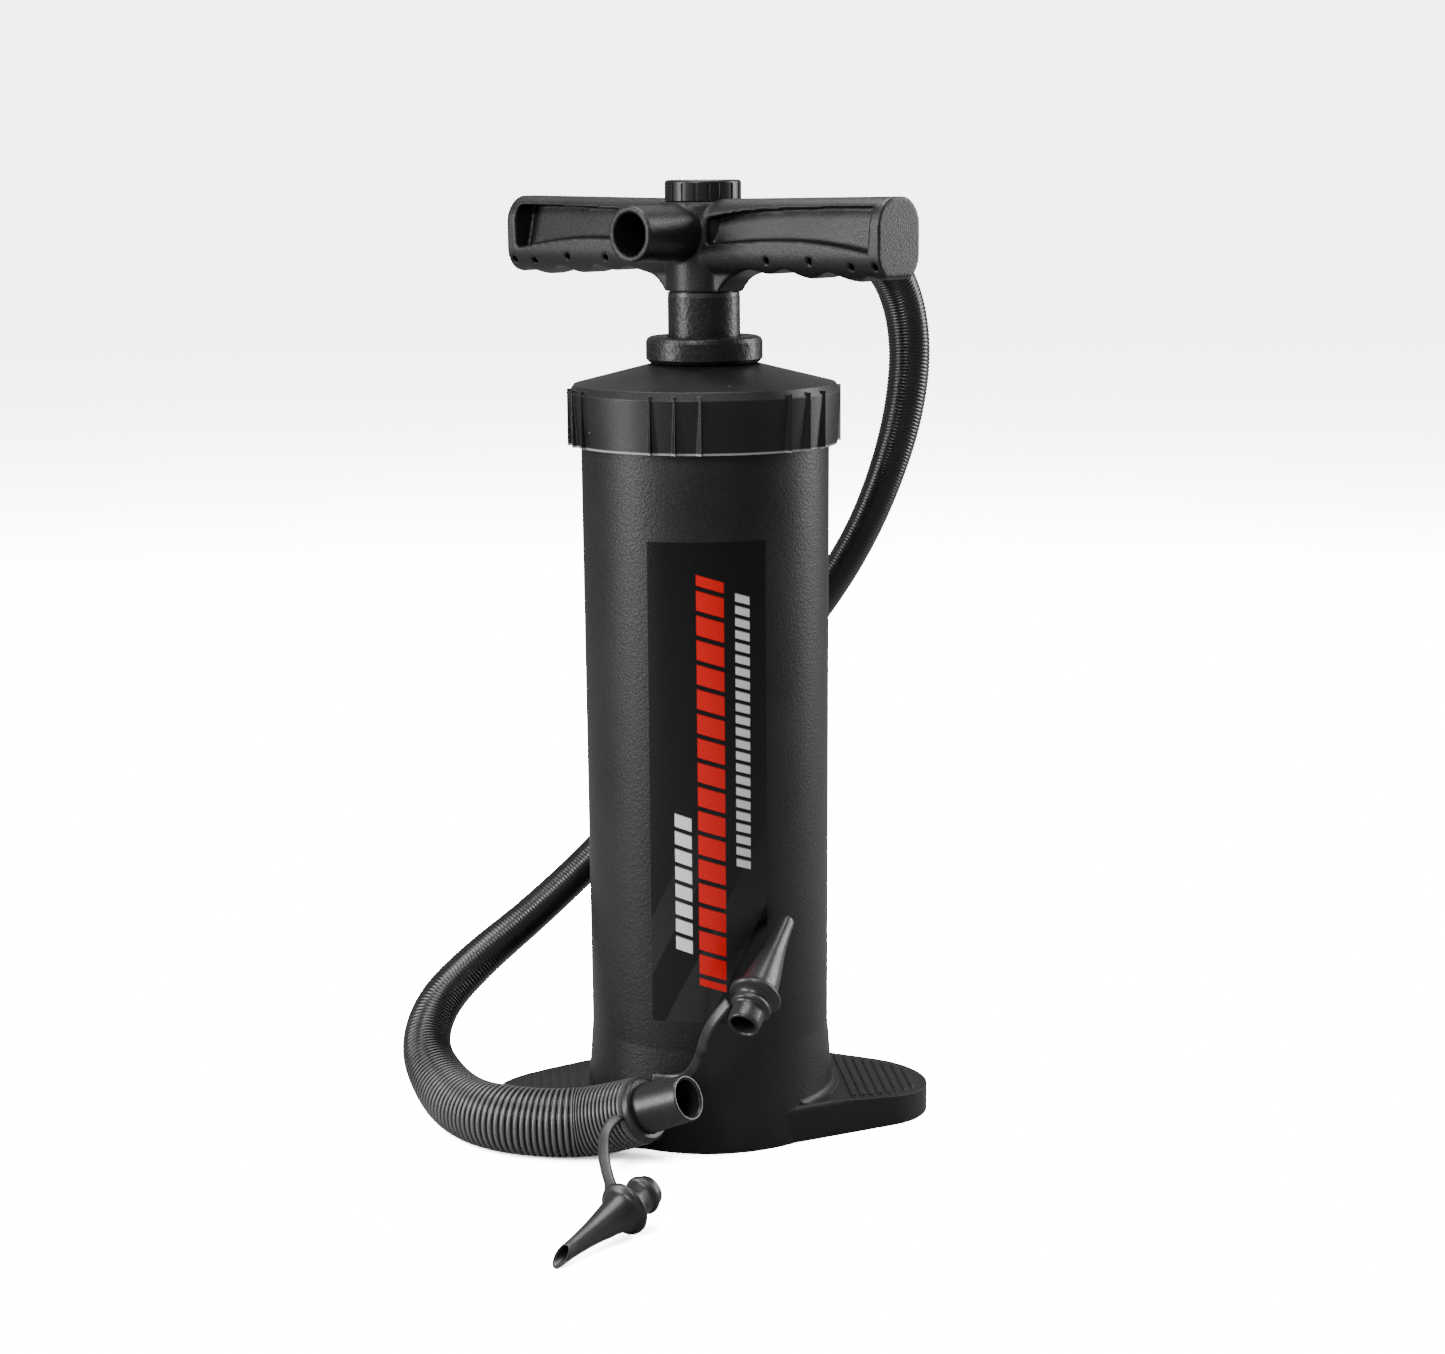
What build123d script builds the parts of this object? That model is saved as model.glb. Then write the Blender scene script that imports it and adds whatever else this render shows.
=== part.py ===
from build123d import *
import math
import os

os.makedirs("parts", exist_ok=True)

# Double action hand pump, in millimetres, +Z up, handle fully down.
# The origin is on the floor, on the pump's axis. +X runs along the foot's long wings.
# Air is drawn through the handle's front port into the outer passage of the rod, and
# leaves through the inner tube of the rod and the rear port, where the hose plugs in.

# ---------------------------------------------------------------- driving dimensions
# foot
foot_half_length = 87.0
foot_middle_radius = 48.0
foot_height = 14.0
foot_tip_height = 10.5
foot_tip_radius = 26.0
foot_edge_radius = 2.2
foot_wall = 3.0
foot_hollow_height = 7.0
wing_rib_pitch = 3.7
wing_rib_count = 8
wing_rib_first_x = 54.0
wing_rib_height = 0.7
wing_rib_margin = 4.0
web_thickness = 2.4
web_pitch = 22.0

# barrel
bore_radius = 43.6
barrel_top_radius = 47.6
barrel_low_radius = 46.6
barrel_top_z = 284.0
thread_starts_z = (272.0, 278.0)
thread_height = 1.6
thread_depth = 0.7
skirt_top_z = 40.0
skirt_radius = 49.5
root_radius = 2.5
chamber_floor_z = 18.0
chamber_floor_thickness = 4.0

# screw cap and guide
cap_low_z = 268.5
cap_low_radius = 50.8
cap_rim_radius = 52.1
cap_rim_z = 288.6
cap_chamfer_z = 291.6
cap_chamfer_radius = 50.1
cap_crown_z = 299.6
cap_skin = 3.2
cap_rib_groups = 6
cap_ribs_per_group = 3
cap_rib_step_deg = 10.5
cap_rib_first_deg = -107.5
cap_rib_height = 0.8
collar_radius = 22.3
collar_top_z = 309.4
collar_low_z = 286.0
collar_lip = 2.4
bush_radius = 17.15
bush_low_z = 290.0
gasket_thickness = 1.6

# rod, piston and seals
rod_radius = 13.8
rod_bore_radius = 11.0
rod_top_z = 352.0
rod_shoulder_z = 324.4
rod_neck_radius = 12.6
air_tube_radius = 7.0
air_tube_bore_radius = 5.6
running_gap = 0.05
seat_gap = 0.02
cross_duct_radius = 1.4
side_duct_radius = 3.6
piston_radius = 42.6
piston_low_z = 20.0
piston_high_z = 44.0
seal_ring_height = 6.0
seal_ring_depth = 3.4
flap_thickness = 1.0
plate_thickness = 4.0
valve_pocket_radius = 33.0
valve_pocket_inner_radius = 16.0
valve_pocket_depth = 4.0
valve_port_circle_radius = 24.5
valve_port_radius = 3.0
valve_port_count = 6
flap_inner_radius = 16.5
inlet_flap_radius = 23.8
outlet_flap_radius = 32.5
screw_count = 4
screw_circle_radius = 36.0
screw_shank_radius = 1.55
screw_hole_radius = 1.62
screw_head_radius = 2.8
screw_head_height = 1.6

# handle, built with its grips along X, then turned
handle_turn_deg = -47.5
grip_half_length = 94.5
grip_width = 24.0
grip_low_z = 331.5
grip_top_z = 362.0
port_z = 348.5
port_radius = 10.4
port_bore_radius = 8.0
port_reach = 41.0
port_bore_depth = 24.0
hub_radius = 15.6
hub_low_z = 326.0
hub_low_radius = 13.8
hub_top_z = 360.0
pocket_depth = 7.0
grip_hole_radius = 1.25
knob_radius = 14.5
knob_top_z = 368.0
knob_low_z = 360.2
knob_flutes = 18
knob_stud_radius = 4.0
knob_stud_low_z = 352.4
handle_seal_height = 1.5

# hose and what is on it
upper_hose_radius = 8.6
lower_hose_radius = 10.0
hose_wall = 1.6
cuff_plug_length = 16.0
cuff_bore_radius = 5.2
cuff_radius = 10.6
cuff_length = 14.6
spigot_length = 8.0
fitting_radius = 9.7
fitting_tip_radius = 8.7
fitting_bore_radius = 7.0
fitting_reach = 24.0
fitting_mouth_bevel = 0.8
tether_ring_radius = 12.2
tether_ring_width = 3.6
tether_ring_start = 0.5
strap_radius = 1.5
nozzle_length = 55.0
nozzle_plug_radius = 6.2
nozzle_plug_root_radius = 6.9
nozzle_flange_z = 15.0
nozzle_bore_radius = 5.0
nozzle_flange_radius = 9.6
nozzle_neck_radius = 7.0
nozzle_tip_radius = 2.7
nozzle_tip_bore_radius = 1.7
nozzle_cone_end = 20.0

# label
label_width = 44.0
label_low_z = 51.5
label_high_z = 236.0
label_thickness = 0.3
label_centre_deg = -95.5

handle_frame = Location((0, 0, 0), (0, 0, handle_turn_deg))
rear_direction = Vector(0, 1, 0).rotate(Axis.Z, handle_turn_deg)

# Routes of the hose and the tether straps: corner points, in order along each one.
upper_hose_route = [
    (41.3, 37.8, 348.5),
    (57.8, 52.9, 348.5),
    (74.0, 67.5, 341.0),
    (88.0, 79.0, 325.0),
    (94.0, 84.0, 301.0),
    (91.5, 82.0, 275.0),
    (84.0, 79.0, 249.0),
    (72.5, 75.0, 223.0),
    (56.0, 70.0, 198.0),
    (35.0, 66.5, 173.0),
    (10.0, 65.5, 147.0),
]
lower_hose_route = [
    (10.0, 65.5, 147.0),
    (-15.0, 64.5, 121.0),
    (-40.0, 58.0, 94.5),
    (-67.5, 50.0, 71.5),
    (-91.0, 43.5, 54.5),
    (-108.5, 34.0, 39.5),
    (-114.0, 17.0, 26.0),
    (-107.0, -3.0, 16.5),
    (-97.5, -20.5, 12.5),
    (-83.5, -36.0, 13.0),
    (-65.5, -43.5, 13.0),
    (-47.0, -46.0, 14.0),
    (-32.5, -57.5, 21.5),
]
upper_strap_route = [
    (-27.0, -48.5, 30.8),
    (-21.5, -50.5, 30.5),
    (-14.5, -56.0, 33.0),
    (-11.0, -64.5, 42.0),
    (-9.5, -71.5, 53.0),
    (-6.0, -76.5, 62.5),
    (-0.6, -77.9, 68.8),
]
lower_strap_route = [
    (-41.0, -66.0, 22.5),
    (-46.5, -70.5, 20.5),
    (-48.0, -79.0, 13.5),
    (-47.0, -89.0, 7.5),
    (-45.0, -99.0, 4.5),
    (-43.5, -108.5, 7.0),
    (-42.0, -116.0, 12.0),
]

# The nozzles' mouths, and the points that their tips aim at.
upper_nozzle_mouth = (3.5, -88.0, 62.5)
upper_nozzle_tip = (25.5, -46.5, 91.5)
lower_nozzle_mouth = (-33.5, -118.5, 12.6)
lower_nozzle_tip = (-70.0, -158.5, 2.9)


# ---------------------------------------------------------------- helpers
def ring(outer, inner, low, high):
    """A straight ring round the Z axis."""
    tall = high - low
    body = Pos(0, 0, low + tall / 2) * Cylinder(outer, tall)
    return body - Pos(0, 0, low + tall / 2) * Cylinder(inner, tall + 2)


def turned(points):
    """A body turned round Z from its (radius, z) outline."""
    outline = Polyline(*[(r, 0, z) for r, z in points], close=True)
    return revolve(make_face(outline), Axis.Z)


def along(start, end):
    """The frame at start whose Z axis points at end."""
    return Plane(origin=start, z_dir=Vector(*end) - Vector(*start))


def cord_path(name, route):
    """Straight runs joined by tangent arcs, each as large as its two runs allow."""
    points = [Vector(*p) for p in route]
    radii = []
    for before, corner, after in zip(points, points[1:], points[2:]):
        arriving = corner - before
        leaving = after - corner
        half_turn = math.radians(arriving.get_angle(leaving)) / 2
        shorter = min(arriving.length, leaving.length)
        radii.append(0.45 * shorter / math.tan(half_turn))
    path = FilletPolyline(*points, radius=radii)
    print(name, "length", round(path.length, 1), "radii", [round(r, 1) for r in radii])
    return path


def swept(name, route, outer, inner=0.0):
    """A round tube, or a round bar where inner is 0, along a route."""
    path = cord_path(name, route)
    profile = Circle(outer) - Circle(inner) if inner else Circle(outer)
    section = Plane(origin=path @ 0, z_dir=path % 0) * profile
    solid = sweep(section, path=path)
    expected = section.area * path.length
    print(name, "volume over section x length", round(solid.volume / expected, 3))
    return solid


# ---------------------------------------------------------------- barrel and foot
def foot_outline(inset=0.0):
    """The foot's outline: a round middle and two smaller round tips, joined by straight sides."""
    middle = foot_middle_radius - inset
    tip = foot_tip_radius - inset
    tip_centre = foot_half_length - foot_tip_radius
    lean = math.asin((middle - tip) / tip_centre)
    middle_x, middle_y = middle * math.sin(lean), middle * math.cos(lean)
    tip_x, tip_y = tip_centre + tip * math.sin(lean), tip * math.cos(lean)
    end_x = tip_centre + tip
    return make_face([
        ThreePointArc((-middle_x, -middle_y), (0, -middle), (middle_x, -middle_y)),
        Line((middle_x, -middle_y), (tip_x, -tip_y)),
        ThreePointArc((tip_x, -tip_y), (end_x, 0), (tip_x, tip_y)),
        Line((tip_x, tip_y), (middle_x, middle_y)),
        ThreePointArc((middle_x, middle_y), (0, middle), (-middle_x, middle_y)),
        Line((-middle_x, middle_y), (-tip_x, tip_y)),
        ThreePointArc((-tip_x, tip_y), (-end_x, 0), (-tip_x, -tip_y)),
        Line((-tip_x, -tip_y), (-middle_x, -middle_y)),
    ])


def make_foot():
    foot = extrude(foot_outline(), foot_height)
    foot = fillet(foot.edges().group_by(Axis.Z)[-1], foot_edge_radius)
    # the wings' top falls a little towards each tip
    fall = math.degrees(math.atan2(foot_height - foot_tip_height, foot_half_length - bore_radius))
    for side in (1, -1):
        slope = Pos(side * bore_radius, 0, foot_height) * Rot(0, side * fall, 0)
        foot -= slope * Pos(side * 40, 0, 10) * Box(80, 120, 20)
    hollow = extrude(foot_outline(foot_wall), foot_hollow_height)
    webs = [Pos(0, 0, foot_height / 2) * Box(2 * foot_half_length, web_thickness, foot_height)]
    for number in (-3, -2, -1, 1, 2, 3):
        web = Box(web_thickness, 2 * foot_middle_radius, foot_height)
        webs.append(Pos(number * web_pitch, 0, foot_height / 2) * web)
    for web in webs:
        hollow -= web
    return foot - hollow


def make_wing_ribs():
    """Low ribs across the top of each wing, kept inside the rounded edge."""
    inside = extrude(foot_outline(wing_rib_margin), foot_height + 6)
    fall = math.atan2(foot_height - foot_tip_height, foot_half_length - bore_radius)
    ribs = []
    for side in (1, -1):
        for number in range(wing_rib_count):
            reach = wing_rib_first_x + number * wing_rib_pitch - bore_radius
            top = foot_height - reach * math.sin(fall) + wing_rib_height
            place = Pos(side * (bore_radius + reach), 0, top - 1.2)
            ribs.append(place * Box(wing_rib_pitch / 2, 90, 2.4) & inside)
    return ribs


def make_barrel():
    wall = turned([
        (0, foot_height - 1),
        (barrel_low_radius, foot_height - 1),
        (barrel_low_radius, skirt_top_z),
        (barrel_top_radius, cap_low_z - 1.5),
        (barrel_top_radius, barrel_top_z),
        (0, barrel_top_z),
    ])
    # the barrel's wall spreads a little as it runs down to the floor
    skirt_inside = foot_middle_radius - foot_wall
    skirt = turned([
        (skirt_inside, 0),
        (skirt_radius, 0),
        (barrel_low_radius, skirt_top_z),
        (skirt_inside, skirt_top_z),
    ])
    # a small concave root where it meets the wings
    spread = (skirt_radius - barrel_low_radius) / skirt_top_z
    root_wall = skirt_radius - spread * (foot_height + root_radius)
    root_low = foot_height - 2.0
    root_curve = ThreePointArc(
        (root_wall + root_radius, 0, foot_height),
        (root_wall + 0.3 * root_radius, 0, foot_height + 0.3 * root_radius),
        (root_wall, 0, foot_height + root_radius),
    )
    root_back = Polyline(
        (root_wall, 0, foot_height + root_radius),
        (skirt_inside, 0, foot_height + root_radius),
        (skirt_inside, 0, root_low),
        (root_wall + root_radius, 0, root_low),
        (root_wall + root_radius, 0, foot_height),
    )
    root = revolve(make_face([root_curve] + root_back.edges()), Axis.Z)
    root = root & extrude(foot_outline(foot_edge_radius), foot_height + 2 * root_radius)
    barrel = make_foot() + wall + skirt + root
    for rib in make_wing_ribs():
        barrel += rib
    chamber_height = barrel_top_z - chamber_floor_z
    barrel -= Pos(0, 0, chamber_floor_z + chamber_height / 2) * Cylinder(bore_radius, chamber_height)
    under_height = chamber_floor_z - chamber_floor_thickness
    under = Pos(0, 0, under_height / 2) * Cylinder(bore_radius - 2, under_height)
    web = Pos(0, 0, under_height / 2) * Box(2 * bore_radius, web_thickness, under_height)
    for turn in (0, 60, 120):
        under -= Rot(0, 0, turn) * web
    barrel -= under
    # two low thread ridges under the screw cap
    for low in thread_starts_z:
        barrel += ring(barrel_top_radius + thread_depth, barrel_top_radius - 0.5, low, low + thread_height)
    return barrel


def make_label():
    """A thin printed panel wrapped on the barrel's front."""
    slope = (barrel_top_radius - barrel_low_radius) / (cap_low_z - 1.5 - skirt_top_z)
    low_radius = barrel_low_radius + slope * (label_low_z - skirt_top_z)
    high_radius = barrel_low_radius + slope * (label_high_z - skirt_top_z)
    skin = turned([
        (low_radius, label_low_z),
        (low_radius + label_thickness, label_low_z),
        (high_radius + label_thickness, label_high_z),
        (high_radius, label_high_z),
    ])
    middle = (label_low_z + label_high_z) / 2
    window = Pos(60, 0, middle) * Box(120, label_width, label_high_z - label_low_z)
    return skin & Rot(0, 0, label_centre_deg) * window


# ---------------------------------------------------------------- cap, guide and top seals
def make_screw_cap():
    cap = turned([
        (collar_radius - 4, cap_crown_z),
        (cap_chamfer_radius, cap_chamfer_z),
        (cap_rim_radius, cap_rim_z),
        (cap_low_radius, cap_low_z),
        (barrel_top_radius + 0.9, cap_low_z),
        (barrel_top_radius + 0.9, barrel_top_z + gasket_thickness),
        (bore_radius - 2, barrel_top_z + gasket_thickness),
        (collar_radius - 4, cap_crown_z - cap_skin - 1.5),
    ])
    # saw-tooth grip ribs down the side: one steep flank, one long slope
    tall = cap_rim_z - cap_low_z + 1.6
    tooth = Polyline(
        (cap_low_radius - 1.5, -3.2),
        (cap_rim_radius + cap_rib_height, 0),
        (cap_low_radius - 1.5, 0.25),
        close=True,
    )
    rib = Pos(0, 0, cap_low_z) * extrude(make_face(tooth), tall)
    for group in range(cap_rib_groups):
        middle = cap_rib_first_deg + group * 360 / cap_rib_groups
        for number in range(cap_ribs_per_group):
            offset = (number - (cap_ribs_per_group - 1) / 2) * cap_rib_step_deg
            cap += Rot(0, 0, middle + offset) * rib
    return cap


def make_guide_collar():
    """The collar at the cap's middle, which holds the rod's guide bush."""
    return turned([
        (bush_radius + running_gap, collar_low_z),
        (collar_radius - 4.05, collar_low_z),
        (collar_radius - 4.05, cap_crown_z + 0.05),
        (collar_radius - 1.2, cap_crown_z + 0.05),
        (collar_radius, cap_crown_z + 1.4),
        (collar_radius, collar_top_z - 2.0),
        (collar_radius - 0.6, collar_top_z - 0.6),
        (collar_radius - 2.0, collar_top_z),
        (rod_radius + 0.6, collar_top_z),
        (rod_radius + 0.6, collar_top_z - collar_lip),
        (bush_radius + running_gap, collar_top_z - collar_lip),
    ])


def make_guide_bush():
    return ring(bush_radius, rod_radius + running_gap, bush_low_z, collar_top_z - collar_lip - 0.1)


def make_rod_seal():
    """The lip seal that closes the upper chamber round the rod."""
    lip_radius = rod_radius + running_gap
    return turned([
        (lip_radius, collar_low_z),
        (bush_radius, collar_low_z),
        (bush_radius, bush_low_z - 0.1),
        (lip_radius + 1.55, bush_low_z - 0.1),
        (lip_radius + 0.95, collar_low_z + 1.6),
        (lip_radius, collar_low_z + 3.0),
    ])


def make_cap_gasket():
    return ring(barrel_top_radius - 0.2, bore_radius, barrel_top_z, barrel_top_z + gasket_thickness)


# ---------------------------------------------------------------- piston and valves
seal_middle_z = (piston_low_z + piston_high_z) / 2
seal_low_z = seal_middle_z - seal_ring_height / 2
seal_high_z = seal_middle_z + seal_ring_height / 2
core_low_z = piston_low_z + plate_thickness
core_high_z = piston_high_z - plate_thickness
upper_seat_z = core_high_z - valve_pocket_depth
lower_seat_z = core_low_z + valve_pocket_depth


def holes_in_circle(circle_radius, count, first_deg, hole_radius):
    """Holes through the whole piston."""
    tall = piston_high_z - piston_low_z
    hole = Pos(circle_radius, 0, seal_middle_z) * Cylinder(hole_radius, tall + 10)
    return [Rot(0, 0, first_deg + turn * 360 / count) * hole for turn in range(count)]


def valve_ports(first_deg):
    return holes_in_circle(valve_port_circle_radius, valve_port_count, first_deg, valve_port_radius)


def screw_holes():
    return holes_in_circle(screw_circle_radius, screw_count, 45.0, screw_hole_radius)


def make_piston_seal():
    """The loose ring that seals the piston to the bore and lets the piston turn in it."""
    groove = piston_radius - seal_ring_depth
    return turned([
        (groove + running_gap, seal_low_z + running_gap),
        (bore_radius - 1.2, seal_low_z + running_gap),
        (bore_radius - running_gap, seal_low_z + 1.2),
        (bore_radius - running_gap, seal_high_z - 1.2),
        (bore_radius - 1.2, seal_high_z - running_gap),
        (groove + running_gap, seal_high_z - running_gap),
    ])


def make_piston_core():
    core = ring(piston_radius, rod_radius + seat_gap, core_low_z, core_high_z)
    core -= ring(piston_radius + 2, piston_radius - seal_ring_depth, seal_low_z, seal_high_z)
    # the two valve pockets, one in each face, where the flaps lift
    core -= ring(valve_pocket_radius, valve_pocket_inner_radius, upper_seat_z, core_high_z + 1)
    core -= ring(valve_pocket_radius, valve_pocket_inner_radius, core_low_z - 1, lower_seat_z)
    for hole in valve_ports(30.0) + screw_holes():
        core -= hole
    return core


def make_piston_plate(low):
    plate = ring(piston_radius - 1.5, rod_radius + seat_gap, low, low + plate_thickness)
    for hole in valve_ports(0.0) + screw_holes():
        plate -= hole
    return plate


def make_flap(low, outer):
    """A flat rubber washer that covers a circle of valve ports."""
    return ring(outer, flap_inner_radius, low, low + flap_thickness)


def make_piston_screws():
    """Four screws that clamp the two plates and the core."""
    low = piston_low_z + 1.0
    head_low = piston_high_z + 0.1
    head_high = head_low + screw_head_height
    middle = Pos(screw_circle_radius, 0, 0)
    shank = middle * Pos(0, 0, (low + head_low) / 2) * Cylinder(screw_shank_radius, head_low - low)
    head = middle * Pos(0, 0, (head_low + head_high) / 2) * Cylinder(screw_head_radius, screw_head_height)
    screw = shank + head
    for turn in (0, 90):
        screw -= middle * Pos(0, 0, head_high) * Rot(0, 0, turn) * Box(3.6, 0.7, 1.2)
    screws = [Rot(0, 0, 45 + turn * 360 / screw_count) * screw for turn in range(screw_count)]
    return Compound(children=screws)


# ---------------------------------------------------------------- rod
def make_piston_rod():
    rod = ring(rod_radius, rod_bore_radius, core_low_z + 0.2, rod_shoulder_z)
    # the narrower neck goes up into the handle
    rod += ring(rod_neck_radius, rod_bore_radius, rod_shoulder_z, rod_top_z)
    # passages from the outer duct to the valve pockets
    for z in (upper_seat_z + 1.6, lower_seat_z - 1.6):
        for turn in (0, 90):
            across = Pos(0, 0, z) * Rot(0, 0, turn) * Rot(90, 0, 0)
            rod -= across * Cylinder(cross_duct_radius, 3 * rod_radius)
    # the window into the handle's front duct
    window = Pos(0, -rod_radius, port_z - 1.0) * Rot(90, 0, 0) * Cylinder(side_duct_radius, 10)
    return rod - handle_frame * window


def make_air_tube():
    """The inner tube, which carries the blown air up to the rear port."""
    tube = ring(air_tube_radius, air_tube_bore_radius, core_low_z + 0.2, rod_top_z)
    spacer = ring(rod_bore_radius - seat_gap, air_tube_radius - 0.5, core_low_z + 0.2, core_low_z + 4.0)
    tube += spacer
    outlet = Pos(0, air_tube_radius, port_z - 1.0) * Rot(90, 0, 0) * Cylinder(3.2, 6)
    return tube - handle_frame * outlet


# ---------------------------------------------------------------- handle
def grip_side_profile():
    """Side view of the handle: flat top, four finger bumps under each grip, webs at the rod."""
    right = [
        (grip_half_length, 333.6),
        (91.0, 332.4),
        (87.0, 333.6),
        (80.5, 331.5),
        (74.5, 332.6),
        (68.5, 334.8),
        (60.0, 332.4),
        (54.0, 333.2),
        (48.5, 335.6),
        (39.5, 333.6),
        (32.0, 335.0),
    ]
    web = [(24.0, 333.5), (18.8, 331.6), (15.6, 329.0), (hub_low_radius - 0.2, hub_low_z + 0.2)]
    underside = Spline(*right, *web)
    top = Polyline(web[-1], (0, hub_low_z + 0.2), (0, hub_top_z + 0.8), (grip_half_length, grip_top_z))
    end = Line((grip_half_length, grip_top_z), (grip_half_length, 333.6))
    return make_face(Plane.XZ * (Curve() + [underside, top, end]))


def make_grip():
    """One grip, along +X, with its rounded section, pocket and drain holes."""
    side = extrude(grip_side_profile(), grip_width / 2, both=True)
    middle_z = (grip_low_z + grip_top_z) / 2
    tall = grip_top_z - grip_low_z
    section = Plane.YZ * Pos(0, middle_z) * RectangleRounded(grip_width, tall + 0.5, grip_width / 2 - 1.2)
    bar = extrude(section, grip_half_length)
    web = Pos(16, 0, 334) * Box(32, 15, 30)
    web = fillet(web.edges().filter_by(Axis.Z), 4.0)
    grip = side & (bar + web)
    pocket_top = Spline((12, 353.6), (30, 356.6), (46, 357.6), (70, 358.3), (90, 358.6))
    pocket_end = Line((90, 358.6), (89, 341.8))
    pocket_low = Spline((89, 341.8), (75, 344.0), (59, 345.6), (40, 345.8), (12, 344.0))
    pocket_near = Line((12, 344.0), (12, 353.6))
    outline = make_face(Plane.XZ * (Curve() + [pocket_top, pocket_end, pocket_low, pocket_near]))
    outline = outline.move(Location((0, -grip_width / 2 - 2, 0)))
    pocket = extrude(outline, 2 * pocket_depth, dir=(0, 1, 0))
    # its floor leans back towards the top and rises towards the hub
    floor = Pos(grip_half_length / 2, pocket_depth - grip_width / 2, 350) * Rot(-16, 0, 2.5)
    pocket -= floor * Pos(0, 20, 0) * Box(3 * grip_half_length, 40, 80)
    grip -= pocket
    for x, z in ((41, 338.6), (61.5, 338.8), (80.5, 337.0), (91.5, 337.2)):
        drill = Pos(x, -grip_width / 2, z) * Rot(90, 0, 0) * Cylinder(grip_hole_radius, 16)
        grip -= drill
    return grip


def make_handle():
    right_grip = make_grip()
    handle = right_grip + mirror(right_grip, Plane.YZ)
    hub = turned([
        (0, hub_low_z),
        (hub_low_radius, hub_low_z),
        (hub_low_radius, port_z - port_radius),
        (hub_radius, port_z),
        (hub_radius, hub_top_z - 1.0),
        (hub_radius - 1.0, hub_top_z),
        (0, hub_top_z),
    ])
    handle += hub
    for turn in (0, 180):
        port = Pos(0, -port_reach / 2, port_z) * Rot(90, 0, 0) * Cylinder(port_radius, port_reach)
        handle += Rot(0, 0, turn) * port
    # the socket for the rod, open below, and the bore for the knob's stud above
    socket_low_z = hub_low_z - 1.0
    socket = Pos(0, 0, (socket_low_z + rod_top_z) / 2)
    handle -= socket * Cylinder(rod_neck_radius + seat_gap, rod_top_z - socket_low_z)
    handle -= Pos(0, 0, (rod_top_z + hub_top_z) / 2) * Cylinder(knob_stud_radius + running_gap, 12)
    handle -= Pos(0, 0, knob_low_z + 2) * Cylinder(knob_radius + 0.4, 4)
    bore_start = port_reach - port_bore_depth
    for turn in (0, 180):
        straight = Pos(0, -port_reach + port_bore_depth / 2, port_z) * Rot(90, 0, 0)
        handle -= Rot(0, 0, turn) * straight * Cylinder(port_bore_radius, port_bore_depth)
        duct = Pos(0, -bore_start / 2, port_z - 1.0) * Rot(90, 0, 0) * Cylinder(side_duct_radius, bore_start)
        handle -= Rot(0, 0, turn) * duct
    return handle_frame * handle


def make_knob_cap():
    """The fluted nut on top, whose stud holds the handle down on the rod."""
    knob = Pos(0, 0, (knob_low_z + knob_top_z) / 2) * Cylinder(knob_radius, knob_top_z - knob_low_z)
    knob = fillet(knob.edges().group_by(Axis.Z)[-1], 1.2)
    groove = Pos(knob_radius + 0.3, 0, knob_low_z + 3.0) * Box(1.6, 1.1, 7.0)
    for turn in range(knob_flutes):
        knob -= Rot(0, 0, turn * 360 / knob_flutes) * groove
    stud_length = knob_low_z - knob_stud_low_z + 0.1
    stud = Pos(0, 0, knob_stud_low_z + stud_length / 2) * Cylinder(knob_stud_radius, stud_length)
    return handle_frame * (knob + stud)


def make_rod_plug():
    """The plug pressed into the rod's top, which closes both ducts above the ports."""
    return ring(rod_bore_radius - seat_gap, air_tube_radius + seat_gap, rod_top_z - 3.0, rod_top_z)


def make_handle_seal():
    """The ring between the rod's shoulder and the handle's socket."""
    low = rod_shoulder_z + seat_gap
    return ring(hub_low_radius - 0.1, rod_neck_radius + seat_gap, low, low + handle_seal_height)


def make_hose_cuff():
    """The plain cuff that plugs the hose into the rear port."""
    start = port_reach - cuff_plug_length
    plug_radius = port_bore_radius - running_gap
    plug = Pos(0, 0, start + cuff_plug_length / 2) * Cylinder(plug_radius, cuff_plug_length)
    sleeve = Pos(0, 0, port_reach + cuff_length / 2) * Cylinder(cuff_radius, cuff_length)
    sleeve = chamfer(sleeve.edges().filter_by(GeomType.CIRCLE), 0.8)
    inside = upper_hose_radius - hose_wall - running_gap
    spigot = Pos(0, 0, port_reach + cuff_length + spigot_length / 2) * Cylinder(inside, spigot_length)
    whole_length = cuff_plug_length + cuff_length + spigot_length
    bore = Pos(0, 0, start + whole_length / 2) * Cylinder(cuff_bore_radius, whole_length + 4)
    place = Plane(origin=(0, 0, port_z), z_dir=rear_direction)
    return place * (plug + sleeve + spigot - bore)


# ---------------------------------------------------------------- free end of the hose
hose_end = Vector(*lower_hose_route[-1])
hose_end_direction = (hose_end - Vector(*lower_hose_route[-2])).normalized()
hose_end_frame = Plane(origin=hose_end, z_dir=hose_end_direction)


def make_hose_end_fitting():
    """The tapered end tube that the nozzles push into."""
    inside = lower_hose_radius - hose_wall - running_gap
    outline = Polyline(
        (fitting_bore_radius, 0, -spigot_length),
        (inside, 0, -spigot_length),
        (inside, 0, running_gap),
        (fitting_radius, 0, running_gap),
        (fitting_tip_radius, 0, fitting_reach - 0.6),
        (fitting_tip_radius - 0.4, 0, fitting_reach),
        (fitting_bore_radius + fitting_mouth_bevel, 0, fitting_reach),
        (fitting_bore_radius, 0, fitting_reach - fitting_mouth_bevel),
        close=True,
    )
    return hose_end_frame * revolve(make_face(outline), Axis.Z)


def make_tether_ring():
    end = tether_ring_start + tether_ring_width
    body = ring(tether_ring_radius, fitting_radius + seat_gap, tether_ring_start, end)
    return hose_end_frame * fillet(body.edges().filter_by(GeomType.CIRCLE).sort_by(SortBy.RADIUS)[-2:], 1.2)


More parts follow.
